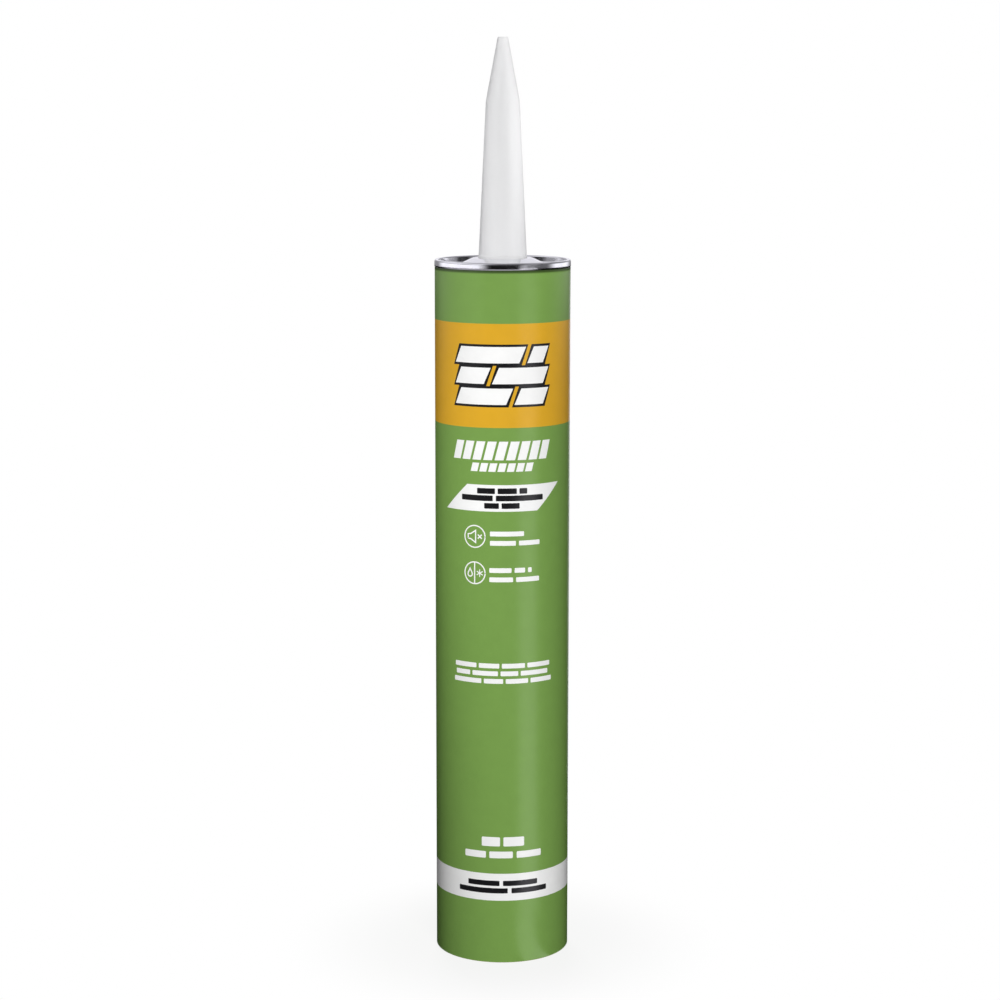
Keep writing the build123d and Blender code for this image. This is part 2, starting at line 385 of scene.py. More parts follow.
class Finish(Wiring):
    """A material's wiring around its Principled shader."""

    def __init__(self, name):
        self.material = bpy.data.materials.new(name)
        self.material.use_nodes = True
        super().__init__(self.material.node_tree)
        self.tree.nodes.clear()
        self.shader = self.add("ShaderNodeBsdfPrincipled")
        self.output = self.add("ShaderNodeOutputMaterial")
        self.feed(self.output.inputs[0], self.shader.outputs[0])

    def dress(self, **inputs):
        """Sets the shader's inputs by name, an underscore standing for a space; returns the material."""
        for name, value in inputs.items():
            self.feed(self.shader.inputs[name.replace("_", " ")], value)
        return self.material


def new_rule(name, floats=(), integers=()):
    """An empty geometry tree with named inputs and a material's; returns its wiring and those inputs."""
    tree = bpy.data.node_groups.new(name, "GeometryNodeTree")
    tree.interface.new_socket("Geometry", in_out="INPUT", socket_type="NodeSocketGeometry")
    for kind, labels in (("Float", floats), ("Int", integers), ("Material", ("Material",))):
        for label in labels:
            tree.interface.new_socket(label, in_out="INPUT", socket_type="NodeSocket" + kind)
    tree.interface.new_socket("Geometry", in_out="OUTPUT", socket_type="NodeSocketGeometry")
    return Wiring(tree), tree.nodes.new("NodeGroupInput").outputs


def end_rule(wire, geometry, given):
    """Closes a geometry tree with welded doubles, realised instances and the material."""
    welded = wire.add("GeometryNodeMergeByDistance", {"Geometry": geometry, "Distance": WELD})
    real = wire.add("GeometryNodeRealizeInstances", {"Geometry": welded.outputs[0]})
    result = {"Geometry": real.outputs[0], "Material": given["Material"]}
    dressed = wire.add("GeometryNodeSetMaterial", result)
    wire.feed(wire.tree.nodes.new("NodeGroupOutput").inputs[0], dressed.outputs[0])
    return wire.tree


def grid_shares(wire, columns, rows):
    """A flat grid, and each point's share of the way along it and up it."""
    square = {"Size X": 1.0, "Size Y": 1.0, "Vertices X": columns, "Vertices Y": rows}
    grid = wire.add("GeometryNodeMeshGrid", square)
    spot = wire.position()
    return grid.outputs[0], wire.plus(spot[0], 0.5), wire.plus(spot[1], 0.5)


def moved(wire, geometry, position):
    return wire.add("GeometryNodeSetPosition", {"Geometry": geometry, "Position": position}).outputs[0]


def around_axis(wire, angle, radius, height):
    """The place at an angle from the front middle, anticlockwise as seen from above."""
    x = wire.times(radius, wire.math("SINE", angle))
    y = wire.times(radius, wire.math("COSINE", angle))
    return wire.vector(x, wire.times(y, -1.0), height)


def radial(wire, reach):
    """At each point, a vector of the given reach that points away from the axis."""
    spot = wire.position()
    flat = wire.vector(spot[0], spot[1], 0.0)
    away = wire.add("ShaderNodeVectorMath", {"Vector": flat}, operation="NORMALIZE")
    scaled = {"Vector": away.outputs[0], "Scale": reach}
    return wire.add("ShaderNodeVectorMath", scaled, operation="SCALE").outputs[0]


def with_thickness(wire, skin, offset):
    """A closed plate: the skin, a copy of it moved by the offset, and the walls between them."""
    pushed = wire.add("GeometryNodeExtrudeMesh", {"Mesh": skin, "Offset": offset, "Individual": False})
    back = wire.add("GeometryNodeFlipFaces", {"Mesh": skin})
    both = wire.add("GeometryNodeJoinGeometry")
    wire.feed(both.inputs[0], pushed.outputs[0])
    wire.feed(both.inputs[0], back.outputs[0])
    return both.outputs[0]


def turned_rule():
    """Turns a closed section, drawn as points at (radius, 0, height), about the axis."""
    wire, given = new_rule("turned section", integers=("Segments",))
    section = given["Geometry"]
    count = wire.add("GeometryNodeAttributeDomainSize", {"Geometry": section}).outputs["Point Count"]
    columns = wire.plus(given["Segments"], 1)
    rows = wire.plus(count, 1)
    grid, along, up = grid_shares(wire, columns, rows)
    row = wire.math("MODULO", wire.math("ROUND", wire.times(up, count)), count)
    read = wire.add(
        "GeometryNodeSampleIndex",
        {"Geometry": section, "Value": wire.add("GeometryNodeInputPosition").outputs[0], "Index": row},
        data_type="FLOAT_VECTOR",
        domain="POINT",
    )
    corner = wire.split(next(s for s in read.outputs if s.enabled))
    spot = around_axis(wire, wire.times(along, tau), corner[0], corner[2])
    return end_rule(wire, moved(wire, grid, spot), given)


def sheet_rule():
    """Wraps a sheet once around a drum; its far end climbs onto its near end at the back."""
    floats = ("Radius", "Bottom", "Top", "Thickness", "Lap", "Ramp")
    wire, given = new_rule("wrapped sheet", floats, ("Columns", "Rows"))
    grid, along, up = grid_shares(wire, given["Columns"], given["Rows"])
    once = wire.times(given["Radius"], tau)
    path = wire.times(along, wire.plus(once, given["Lap"]))
    climb = wire.smooth(path, wire.minus(once, given["Ramp"]), once, 0.0, given["Thickness"])
    angle = wire.plus(wire.math("DIVIDE", path, given["Radius"]), pi)
    rise = wire.minus(given["Top"], given["Bottom"])
    height = wire.math("MULTIPLY_ADD", up, rise, given["Bottom"])
    radius = wire.plus(given["Radius"], climb)
    skin = moved(wire, grid, around_axis(wire, angle, radius, height))
    inward = radial(wire, wire.times(given["Thickness"], -1.0))
    return end_rule(wire, with_thickness(wire, skin, inward), given)


def print_rule():
    """Bends flat print around the drum: x is the way round, z the height and -y the ink's top."""
    wire, given = new_rule("print on the drum", ("Radius", "Root"))
    drop = wire.minus(given["Root"], wire.position()[1])
    plate = with_thickness(wire, given["Geometry"], wire.vector(0.0, drop, 0.0))
    spot = wire.position()
    angle = wire.math("DIVIDE", spot[0], given["Radius"])
    radius = wire.minus(given["Radius"], spot[1])
    bent = moved(wire, plate, around_axis(wire, angle, radius, spot[2]))
    return end_rule(wire, bent, given)


def spiral_rule():
    """A lap of the wound liner: a ribbon that climbs the bore and is cut off at the tube's ends."""
    wire, given = new_rule("spiral lap", ("Bore radius", "Thickness", "Width", "Climb", "Top"), ("Steps",))
    grid, along, up = grid_shares(wire, given["Steps"], 3)
    margin = wire.times(given["Width"], 0.5)
    rise = wire.times(along, wire.plus(given["Top"], given["Width"]))
    middle = wire.minus(rise, margin)
    height = wire.math("MULTIPLY_ADD", wire.minus(up, 0.5), given["Width"], middle)
    kept = wire.math("MINIMUM", wire.math("MAXIMUM", height, 0.0), given["Top"])
    angle = wire.times(wire.math("DIVIDE", middle, given["Climb"]), tau)
    radius = wire.minus(given["Bore radius"], given["Thickness"])
    skin = moved(wire, grid, around_axis(wire, angle, radius, kept))
    outward = radial(wire, given["Thickness"])
    return end_rule(wire, with_thickness(wire, skin, outward), given)


def spokes_rule():
    """Repeats a shape evenly about the axis."""
    wire, given = new_rule("spokes", integers=("Count",))
    points = wire.add("GeometryNodePoints", {"Count": given["Count"]})
    index = wire.add("GeometryNodeInputIndex").outputs[0]
    turn = wire.times(wire.math("DIVIDE", index, given["Count"]), tau)
    spoke = {"Instance": given["Geometry"], "Rotation": wire.vector(0.0, 0.0, turn)}
    copies = wire.add("GeometryNodeInstanceOnPoints", {"Points": points.outputs[0], **spoke})
    return end_rule(wire, copies.outputs[0], given)


def new_mesh(name, points, faces, edges=()):
    mesh = bpy.data.meshes.new(name)
    mesh.from_pydata(points, edges, faces)
    return mesh


def new_object(name, content):
    """An object of the scene, at the origin."""
    thing = bpy.data.objects.new(name, content)
    bpy.context.scene.collection.objects.link(thing)
    return thing


def shaped(name, rule, material, *values, outline=None):
    """Runs a geometry tree on values for its inputs, in their order, and keeps the result as a mesh."""
    piece = new_object(name, outline or bpy.data.meshes.new(name))
    modifier = piece.modifiers.new("rule", "NODES")
    modifier.node_group = rule
    sockets = [item for item in rule.interface.items_tree if item.in_out == "INPUT"]
    for socket, value in zip(sockets[1:], (*values, material)):
        modifier[socket.identifier] = value
    evaluated = piece.evaluated_get(bpy.context.evaluated_depsgraph_get())
    mesh = bpy.data.meshes.new_from_object(evaluated)
    piece.modifiers.remove(modifier)
    piece.data = mesh
    mesh.name = name
    face_outwards(mesh)
    return piece


def face_outwards(mesh):
    """Turns the faces of each closed shell outwards, and shades the mesh smooth between sharp edges."""
    work = bmesh.new()
    work.from_mesh(mesh)
    bmesh.ops.recalc_face_normals(work, faces=work.faces)
    if work.calc_volume(signed=True) < 0:
        bmesh.ops.reverse_faces(work, faces=work.faces)
    work.to_mesh(mesh)
    work.free()
    mesh.shade_smooth()
    mesh.set_sharp_from_angle(angle=SHARP_EDGE)


# A section's line is a list of corners: each has a radius, a height and, where it is rounded, its bend
def shifted(corners, shift):
    """A bent line moved sideways, the shift being positive towards the contents."""
    ways = [atan2(b[1] - a[1], b[0] - a[0]) for a, b in zip(corners, corners[1:])]
    turns = [remainder(after - before, tau) for before, after in zip(ways, ways[1:])]
    first, last = corners[0], corners[-1]
    line = [(first[0] - shift * sin(ways[0]), first[1] + shift * cos(ways[0]))]
    for (radius, height, bend), way, turn in zip(corners[1:-1], ways, turns):
        reach = shift / cos(turn / 2)
        across = way + turn / 2
        bend = bend - shift if turn > 0 else bend + shift
        line.append((radius - reach * sin(across), height + reach * cos(across), bend))
    line.append((last[0] - shift * sin(ways[-1]), last[1] + shift * cos(ways[-1])))
    return line


def rounded(corners):
    """The points of an open line, with its bends."""
    line = [corners[0]]
    for before, corner, after in zip(corners, corners[1:], corners[2:]):
        if len(corner) == 2:
            line.append(corner)
            continue
        bend = corner[2]
        way = atan2(corner[1] - before[1], corner[0] - before[0])
        turn = remainder(atan2(after[1] - corner[1], after[0] - corner[0]) - way, tau)
        side = 1 if turn > 0 else -1
        setback = bend * tan(abs(turn) / 2)
        start = (corner[0] - setback * cos(way), corner[1] - setback * sin(way))
        centre = (start[0] - side * bend * sin(way), start[1] + side * bend * cos(way))
        steps = max(2, ceil(abs(turn) / BEND_STEP))
        for step in range(steps + 1):
            aim = way - side * pi / 2 + turn * step / steps
            line.append((centre[0] + bend * cos(aim), centre[1] + bend * sin(aim)))
    line.append(corners[-1])
    return line


def divided(points, longest):
    """The same line with its long straight stretches cut into shorter ones."""
    line = [points[0]]
    for start, end in zip(points, points[1:]):
        steps = max(1, ceil((Vector(end) - Vector(start)).length / longest))
        line += [tuple(Vector(start).lerp(Vector(end), step / steps)) for step in range(1, steps + 1)]
    return line


def on_line(start, end, radius):
    """The point at a given radius on the straight line through two section points."""
    share = (radius - start[0]) / (end[0] - start[0])
    return (radius, start[1] + share * (end[1] - start[1]))


def ride(piece, body, material_slot, *nodes):
    """Makes a piece move with its body and stand for its CAD nodes, which it hides; its material slot is
    not used.
    """
    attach(piece, body)
    if nodes:
        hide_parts(*nodes)
    return piece


def object_position(wire):
    return wire.add("ShaderNodeTexCoord").outputs["Object"]


def noise(wire, scale, stretch=(1, 1, 1), detail=2.0, roughness=0.5):
    """Soft noise from 0 to 1 on object coordinates; a stretch over 1 packs it along that axis."""
    packed = wire.add("ShaderNodeMapping", {"Vector": object_position(wire), "Scale": stretch})
    settings = {"Vector": packed.outputs[0], "Scale": scale, "Detail": detail, "Roughness": roughness}
    return wire.add("ShaderNodeTexNoise", settings).outputs[0]


def polar(wire):
    """Radius, angle about the axis and height of the shaded point."""
    x, y, z = wire.split(object_position(wire))
    squares = wire.plus(wire.math("POWER", x, 2), wire.math("POWER", y, 2))
    angle = wire.math("ARCTAN2", x, wire.times(y, -1.0))
    return wire.math("SQRT", squares), angle, z


def bumped(wire, height, depth, strength):
    """A normal that follows a height pattern of the given depth."""
    relief = {"Height": height, "Distance": depth, "Strength": strength}
    return wire.add("ShaderNodeBump", relief).outputs[0]


def spread(wire, value, low, high):
    """Noise values moved into a range of roughness, height or the like."""
    ends = {"Value": value, "From Min": NOISE_LOW, "From Max": NOISE_HIGH, "To Min": low, "To Max": high}
    return wire.add("ShaderNodeMapRange", ends).outputs[0]


def layered(wire, fine, share, coarse):
    """A fine pattern, at a share of its strength, on top of a coarse one."""
    return wire.plus(wire.times(fine, share), coarse)


def varnished(name, colour_of):
    """Printed and varnished label paper, in the colour that colour_of wires up."""
    wire = Finish(name)
    colour = colour_of(wire)
    mottle = spread(wire, noise(wire, scale=160, detail=4), 0, 1)
    fibres = noise(wire, scale=2600, stretch=(1, 1, 0.45), detail=3)
    waves = noise(wire, scale=55, stretch=(1, 1, 0.5), detail=1)
    return wire.dress(
        Base_Color=wire.blend(wire.times(mottle, MOTTLE_SHARE), colour, BLACK),
        Roughness=spread(wire, noise(wire, scale=420, detail=3), *VARNISH_ROUGHNESS),
        Specular_IOR_Level=0.5,
        Normal=bumped(wire, layered(wire, fibres, FIBRE_SHARE, waves), depth=0.05 * MM, strength=0.5),
    )


def field_colours(wire):
    """Green paper with a gold field near the top and a white one near the foot, and painted shade that
    darkens it towards black at its top edge under the seam.
    """
    height = polar(wire)[2]

    def band(bottom, top):
        above = wire.math("GREATER_THAN", height, bottom)
        return wire.times(above, wire.math("LESS_THAN", height, top))

    with_gold = wire.blend(band(GOLD_BOTTOM, GOLD_TOP), GREEN, GOLD)
    printed = wire.blend(band(WHITE_BOTTOM, WHITE_TOP), with_gold, PAPER_WHITE)
    # Painted shade: towards the label's top edge the colour blends towards black, standing in for the
    # seam's shade
    painted_seam_shade = wire.smooth(height, LABEL_TOP - PAINTED_SHADE_START, LABEL_TOP - PAINTED_SHADE_END, 0.0, PAINTED_SHADE_DARKNESS)
    return wire.blend(painted_seam_shade, printed, BLACK)


def plain_colour(colour):
    return lambda wire: wire.blend(0.0, colour, colour)


def tinplate():
    """Bright tinplate with faint rolling lines around it and the soft waves of pressing."""
    wire = Finish("tinplate")
    rolled = noise(wire, scale=700, stretch=(0.04, 1, 1), detail=3)
    pressed = noise(wire, scale=60, detail=1)
    return wire.dress(
        Base_Color=wire.blend(rolled, *TIN_COLOURS),
        Metallic=1.0,
        Roughness=spread(wire, noise(wire, scale=240, detail=4), *TIN_ROUGHNESS),
        Normal=bumped(wire, layered(wire, rolled, ROLLED_SHARE, pressed), depth=0.03 * MM, strength=0.5),
    )


def polyethylene(name, colours, scatter, roughness):
    """Moulded polyethylene: soft light inside, and faint flow marks along the axis."""
    wire = Finish(name)
    flow = noise(wire, scale=260, stretch=(1, 1, 0.12), detail=3)
    grain = noise(wire, scale=1900, detail=2)
    return wire.dress(
        Base_Color=wire.blend(spread(wire, flow, 0, FLOW_SHARE), *colours),
        Roughness=spread(wire, grain, roughness, roughness + MOULDED_RANGE),
        Subsurface_Weight=scatter,
        Subsurface_Radius=(1.0, 1.0, 1.0),
        Subsurface_Scale=6 * MM,
        Normal=bumped(wire, layered(wire, grain, GRAIN_SHARE, flow), depth=0.02 * MM, strength=0.5),
    )


def kraft_board():
    """Wound kraft paper: long fibres, and plies that show as rings on the cut edge."""
    wire = Finish("kraft board")
    fibres = noise(wire, scale=900, stretch=(1, 1, 0.4), detail=5, roughness=0.65)
    plies = wire.math("SINE", wire.times(polar(wire)[0], tau / PLY_THICKNESS))
    tone = layered(wire, plies, PLY_TONE, spread(wire, fibres, 0, 1))
    return wire.dress(
        Base_Color=wire.blend(tone, *KRAFT_COLOURS),
        Roughness=0.85,
        Specular_IOR_Level=0.2,
        Normal=bumped(wire, layered(wire, plies, PLY_RELIEF, fibres), depth=0.06 * MM, strength=0.7),
    )


def foil(name, wrinkle_scale, wrinkle_depth):
    """Thin aluminium foil with fine wrinkles."""
    wire = Finish(name)
    creases = noise(wire, wrinkle_scale, detail=5, roughness=0.6)
    return wire.dress(
        Base_Color=wire.blend(creases, *FOIL_COLOURS),
        Metallic=1.0,
        Roughness=spread(wire, creases, *SATIN_ROUGHNESS),
        Normal=bumped(wire, creases, wrinkle_depth, strength=0.6),
    )


def paste():
    """Smooth off-white paste with soft folds."""
    wire = Finish("adhesive paste")
    folds = noise(wire, scale=90, detail=3)
    return wire.dress(
        Base_Color=wire.blend(folds, *PASTE_COLOURS),
        Roughness=spread(wire, noise(wire, scale=500), *SATIN_ROUGHNESS),
        Subsurface_Weight=0.15,
        Subsurface_Radius=(1.0, 0.9, 0.7),
        Subsurface_Scale=2 * MM,
        Normal=bumped(wire, folds, depth=0.2 * MM, strength=0.4),
    )


class FlatPrint:
    """Print laid out flat: x is the way round from the front middle, z the height, -y the ink's top."""

    def __init__(self):
        self.points = []
        self.faces = []

    def grid(self, rows, lift):
        """Adds rows of points, bottom row first, and the faces between them."""
        start, width = len(self.points), len(rows[0])
        for row in rows:
            self.points += [(x, -lift, z) for x, z in row]
        for upper in range(1, len(rows)):
            for column in range(width - 1):
                corner = start + (upper - 1) * width + column
                self.faces.append((corner, corner + 1, corner + 1 + width, corner + width))

    def panel(self, left, right, low, high, lift, lean=0.0):
        """A field with level top and bottom edges, whose ends lean by the given reach."""
        columns = ceil((right - left) / PRINT_STEP)
        rows = max(1, ceil(abs(lean) / PRINT_STEP))

        def across(row):
            height = low + (high - low) * row / rows
            steps = range(columns + 1)
            return [(left + (right - left) * step / columns + lean * row / rows, height) for step in steps]

        self.grid([across(row) for row in range(rows + 1)], lift)

    def bar(self, left, right, low, high, lift, corner):
        """A level bar with rounded corners."""
        width = right - left
        middle = ceil(width / PRINT_STEP)
        ends = [corner * (1 - cos(radians(angle))) for angle in CORNER_ANGLES]
        insets = ends + [corner + (width - 2 * corner) * n / middle for n in range(1, middle)]
        insets += [width - end for end in reversed(ends)]
        bottom, top = [], []
        for inset in insets:
            depth = max(0.0, corner - inset, corner - (width - inset))
            cut = corner - max(0.0, corner * corner - depth * depth) ** 0.5
            bottom.append((left + inset, low + cut))
            top.append((left + inset, high - cut))
        self.grid([bottom, top], lift)

    def stroke(self, path, width, lift, closed=False):
        """A line of even width along a path of (x, z) points."""
        points = [Vector(point) for point in divided(path + path[:1] if closed else path, PRINT_STEP)]
        if closed:
            points.pop()
        inner, outer = [], []
        for index, point in enumerate(points):
            before = points[index - 1] if index or closed else None
            after = points[(index + 1) % len(points)] if index + 1 < len(points) or closed else None
            ways = [(b - a).normalized() for a, b in ((before, point), (point, after)) if a and b]
            across = sum((Vector((-way.y, way.x)) for way in ways), Vector((0, 0))).normalized()
            reach = width / 2 / max(MITRE_LIMIT, across.dot(Vector((-ways[0].y, ways[0].x))))
            inner.append(tuple(point + across * reach))
            outer.append(tuple(point - across * reach))
        if closed:
            inner.append(inner[0])
            outer.append(outer[0])
        self.grid([outer, inner], lift)

    def ring(self, centre, radius, width, lift):
        turn = [tau * step / RING_STEPS for step in range(RING_STEPS)]
        circle = [(centre[0] + radius * cos(angle), centre[1] + radius * sin(angle)) for angle in turn]
        self.stroke(circle, width, lift, closed=True)

    def mesh(self, name):
        return new_mesh(name, self.points, self.faces)


def word_bars(flat, lines, lift):
    """Lines of plain bars where lines of words would stand."""
    for bottom, height, corner, spans in lines:
        for left, right in spans:
            flat.bar(left * MM, right * MM, bottom * MM, (bottom + height) * MM, lift, corner * MM)


def leaning_blocks(flat, bottom, height, left, right, lean, count):
    """A row of equal leaning blocks where a large word would stand."""
    pitch = (right - left) / count
    for block in range(count):
        start = left + block * pitch
        flat.panel(start, start + pitch * BLOCK_SHARE, bottom, bottom + height, FIRST_INK, lean)


def about(centre, points):
    """Points given in millimetres from a sign's centre."""
    return [(centre[0] + x * MM, centre[1] + z * MM) for x, z in points]


def sound_sign(flat, centre):
    """A ring with a horn and a cross."""
    flat.ring(centre, SIGN_RADIUS, SIGN_LINE, FIRST_INK)
    flat.stroke(about(centre, HORN), SIGN_LINE, FIRST_INK, closed=True)
    for side in (1, -1):
        line = ((CROSS_LEFT, -CROSS_HALF_HEIGHT * side), (CROSS_RIGHT, CROSS_HALF_HEIGHT * side))
        flat.stroke(about(centre, line), SIGN_LINE, FIRST_INK + side * CROSSING_STEP)


def weather_sign(flat, centre):
    """A ring halved by a line, with a drop on one side and a star on the other."""
    flat.ring(centre, SIGN_RADIUS, SIGN_LINE, FIRST_INK)
    flat.stroke(about(centre, DIVIDER), SIGN_LINE, FIRST_INK - CROSSING_STEP)
    turn = [radians(angle) for angle in DROP_ANGLES]
    belly = [(DROP_X + DROP_RADIUS * cos(angle), DROP_MIDDLE + DROP_RADIUS * sin(angle)) for angle in turn]
    flat.stroke(about(centre, [(DROP_X, DROP_TIP)] + belly), SIGN_LINE, FIRST_INK, closed=True)
    for angle, lift in STAR_ARMS:
        x, z = STAR_REACH * cos(radians(angle)), STAR_REACH * sin(radians(angle))
        arm = about(centre, [(STAR_X - x, -z), (STAR_X + x, z)])
        flat.stroke(arm, STAR_LINE, FIRST_INK + lift * CROSSING_STEP)


def white_print():
    """White ink: title blocks, the slanted panel, two round signs and the small bars."""
    flat = FlatPrint()
    for *row, count in TITLE_ROWS:
        leaning_blocks(flat, *(size * MM for size in row), count)
    flat.panel(*(size * MM for size in SLANTED_PANEL), FIRST_INK, SLANTED_PANEL_LEAN)
    word_bars(flat, WHITE_BARS, FIRST_INK)
    sound_sign(flat, SOUND_SIGN)
    weather_sign(flat, WEATHER_SIGN)
    return flat


def boards(edge, lift, lift_step=0.0):
    """The floor boards of the emblem, each with an edge around it and each row at its own lift."""
    flat = FlatPrint()
    for left, right, row in BOARDS:
        low = BOARD_BASE + row * BOARD_PITCH - edge
        high = low + BOARD_HEIGHT + 2 * edge
        flat.panel(left * MM - edge, right * MM + edge, low, high, lift + row * lift_step, BOARD_LEAN)
    return flat


def black_print():
    """Black ink: the ground of the board emblem, and the bars on the white fields."""
    flat = boards(BOARD_EDGE, FIRST_INK, BOARD_INK_STEP)
    word_bars(flat, BLACK_BARS, SECOND_INK)
    return flat


def make_label(rules, paper, white_ink, black_ink):
    drum = (LABEL_RADIUS, LABEL_BOTTOM, LABEL_TOP)
    wrap = (LABEL_THICKNESS, LABEL_LAP, LABEL_LAP_RAMP, LABEL_COLUMNS, LABEL_ROWS)
    ride(shaped("label_sheet", rules["sheet"], paper, *drum, *wrap), "cartridge", "label", "label")
    for name, flat, ink in (
        ("white_print", white_print(), white_ink),
        ("black_print", black_print(), black_ink),
        ("board_emblem", boards(0.0, SECOND_INK), white_ink),
    ):
        bent = shaped(name, rules["print"], ink, LABEL_RADIUS, INK_ROOT, outline=flat.mesh(name))
        ride(bent, "cartridge", "label")


def turned(name, rules, corners, material):
    """A piece turned from the corners of its closed section."""
    line = rounded(corners)
    edges = [(index, (index + 1) % len(line)) for index in range(len(line))]
    outline = new_mesh(name, [(radius, 0, height) for radius, height in line], [], edges)
    return shaped(name, rules["turned"], material, TURN_SEGMENTS, outline=outline)


def stand_in(name, rules, corners, material, body="cartridge"):
    """A turned piece that stands for the CAD node of its name, in the finish it is given."""
    return ride(turned(name, rules, corners, material), body, name, name)


# Middle line of the tinplate, from the curled lip over the crest to the nozzle's hole
HALF_GAUGE = TIN_GAUGE / 2
CREST_TOP = COLLAR_TOP - CREST_DROP
LIP_END = CREST_TOP - SKIRT_HEIGHT
SKIRT_MIDDLE = SKIRT_RADIUS - HALF_GAUGE
CHUCK_WALL_MIDDLE = BORE_RADIUS - CHUCK_WALL_GAP - HALF_GAUGE
CREST_WIDTH = SKIRT_MIDDLE - CHUCK_WALL_MIDDLE
PANEL_MIDDLE = CREST_TOP - PANEL_DEPTH - HALF_GAUGE
COUNTERSINK_MIDDLE = PANEL_MIDDLE - COUNTERSINK_DROP
COUNTERSINK_OUTER = CHUCK_WALL_MIDDLE - CHUCK_WALL_LEAN
COUNTERSINK_INNER = COUNTERSINK_OUTER - COUNTERSINK_WIDTH
NOZZLE_HOLE_RADIUS = FOOT_RADIUS + NOZZLE_HOLE_GAP
COLLAR_TOP_RADIUS = NOZZLE_HOLE_RADIUS + COLLAR_LAND
CREST_OUTER_BEND = CREST_WIDTH * CREST_OUTER_SHARE
CREST_INNER_BEND = CREST_WIDTH * CREST_INNER_SHARE
TIN_LINE = [
    (SKIRT_MIDDLE - LIP_REACH, LIP_END),
    (SKIRT_MIDDLE, LIP_END + LIP_HEIGHT, LIP_BEND),
    (SKIRT_MIDDLE, CREST_TOP - HALF_GAUGE, CREST_OUTER_BEND),
    (CHUCK_WALL_MIDDLE, CREST_TOP - HALF_GAUGE, CREST_INNER_BEND),
    (COUNTERSINK_OUTER, COUNTERSINK_MIDDLE, COUNTERSINK_BEND),
    (COUNTERSINK_INNER, COUNTERSINK_MIDDLE, COUNTERSINK_BEND),
    (COUNTERSINK_INNER - COUNTERSINK_LEAN, PANEL_MIDDLE, PANEL_BEND),
    (COLLAR_TOP_RADIUS + COLLAR_SLOPE_WIDTH, PANEL_MIDDLE, COLLAR_FOOT_BEND),
    (COLLAR_TOP_RADIUS, COLLAR_TOP - HALF_GAUGE, COLLAR_TOP_BEND),
    (NOZZLE_HOLE_RADIUS, COLLAR_TOP - HALF_GAUGE),
]


def make_tube(rules, board, liner, paper):
    lip_bottom, lip_top = LIP_END - CRIMP_HALF_HEIGHT, LIP_END + CRIMP_HALF_HEIGHT
    crimp_root = TUBE_RADIUS - CRIMP_DEPTH
    outer_bend = CREST_OUTER_BEND - HALF_GAUGE - SKIRT_GAP
    inner_bend = CREST_INNER_BEND - HALF_GAUGE - CHUCK_WALL_GAP
    corners = [
        (BORE_RADIUS, 0),
        (TUBE_RADIUS, 0),
        (TUBE_RADIUS, LABEL_TOP),
        (crimp_root, lip_bottom),
        (crimp_root, lip_top),
        (TUBE_RADIUS, lip_top + CRIMP_FLANK),
        (TUBE_RADIUS, TUBE_TOP, outer_bend),
        (BORE_RADIUS, TUBE_TOP, inner_bend),
        (BORE_RADIUS, TUBE_TOP / 2),
    ]
    tube = turned("tube", rules, corners, board)
    bore_limit, crimp_limit = BORE_RADIUS + FACE_TOLERANCE, crimp_root - FACE_TOLERANCE
    lay_finish(tube, liner, lambda centre: centre.xy.length < bore_limit)
    # The tube's crimp faces above the label take the label paper, whose painted shade makes them dark green
    # under the seam
    lay_finish(tube, paper, lambda centre: centre.z > LABEL_TOP and centre.xy.length > crimp_limit)
    ride(tube, "cartridge", "tube", "tube")
    lap = (BORE_RADIUS, LINER_LAP_THICKNESS, LINER_LAP_WIDTH, LINER_LAP_CLIMB)
    top = TUBE_TOP - CREST_INNER_BEND
    ride(shaped("liner_lap", rules["spiral"], liner, *lap, top, LINER_LAP_STEPS), "cartridge", "tube")


def lay_finish(piece, material, chosen):
    """Gives one more material to the faces whose centres pass a test."""
    piece.data.materials.append(material)
    for face in piece.data.polygons:
        if chosen(face.center):
            face.material_index = len(piece.data.materials) - 1


def crowned(line):
    """The tinplate's outer side with its skirt leaning in a little towards the crest."""
    low, high = LIP_END + LIP_HEIGHT, CREST_TOP - CREST_OUTER_BEND

    def lean(height):
        return SKIRT_CROWN * min(1.0, max(0.0, (height - low) / (high - low))) ** 2

    edge = [point for point in line if point[0] > SKIRT_MIDDLE - CREST_OUTER_BEND]
    rest = line[len(edge):]
    return [(radius - lean(height), height) for radius, height in divided(edge, SKIRT_STEP)] + rest


def make_metal_end(rules, metal):
    inner = rounded(shifted(TIN_LINE, HALF_GAUGE))
    outer = crowned(rounded(shifted(TIN_LINE, -HALF_GAUGE)))
    stand_in("metal_end", rules, inner + outer[::-1], metal)


def make_nozzle(rules, plastic):
    *_, foot, seat, _ = shifted(TIN_LINE, HALF_GAUGE + FLANGE_GAP)
    base = COLLAR_TOP + FOOT_HEIGHT
    base_radius = FOOT_RADIUS - FOOT_STEP
    bore = base_radius - NOZZLE_WALL
    shoulder = COLLAR_TOP + SHOULDER_HEIGHT
    corners = [
        (0, NOZZLE_TOP - TIP_WALL),
        (TIP_RADIUS - NOZZLE_WALL, NOZZLE_TOP - TIP_WALL),
        (SHOULDER_RADIUS - NOZZLE_WALL, shoulder, SHOULDER_BEND - NOZZLE_WALL),
        (bore, base),
        (bore, NOZZLE_BOTTOM),
        (FLANGE_RADIUS, NOZZLE_BOTTOM),
        on_line(foot, seat, FLANGE_RADIUS),
        seat,
        (FOOT_RADIUS, seat[1]),
        (FOOT_RADIUS, base, FOOT_EDGE_ROUND),
        (base_radius, base),
        (SHOULDER_RADIUS, shoulder, SHOULDER_BEND),
        (TIP_RADIUS, NOZZLE_TOP, TIP_ROUND),
        (0, NOZZLE_TOP),
    ]
    stand_in("nozzle", rules, corners, plastic)


def make_foil_seal(rules, foil_finish):
    corners = [(0, FOIL_BOTTOM), (FOIL_RADIUS, FOIL_BOTTOM), (FOIL_RADIUS, FOIL_TOP), (0, FOIL_TOP)]
    stand_in("foil_seal", rules, corners, foil_finish)


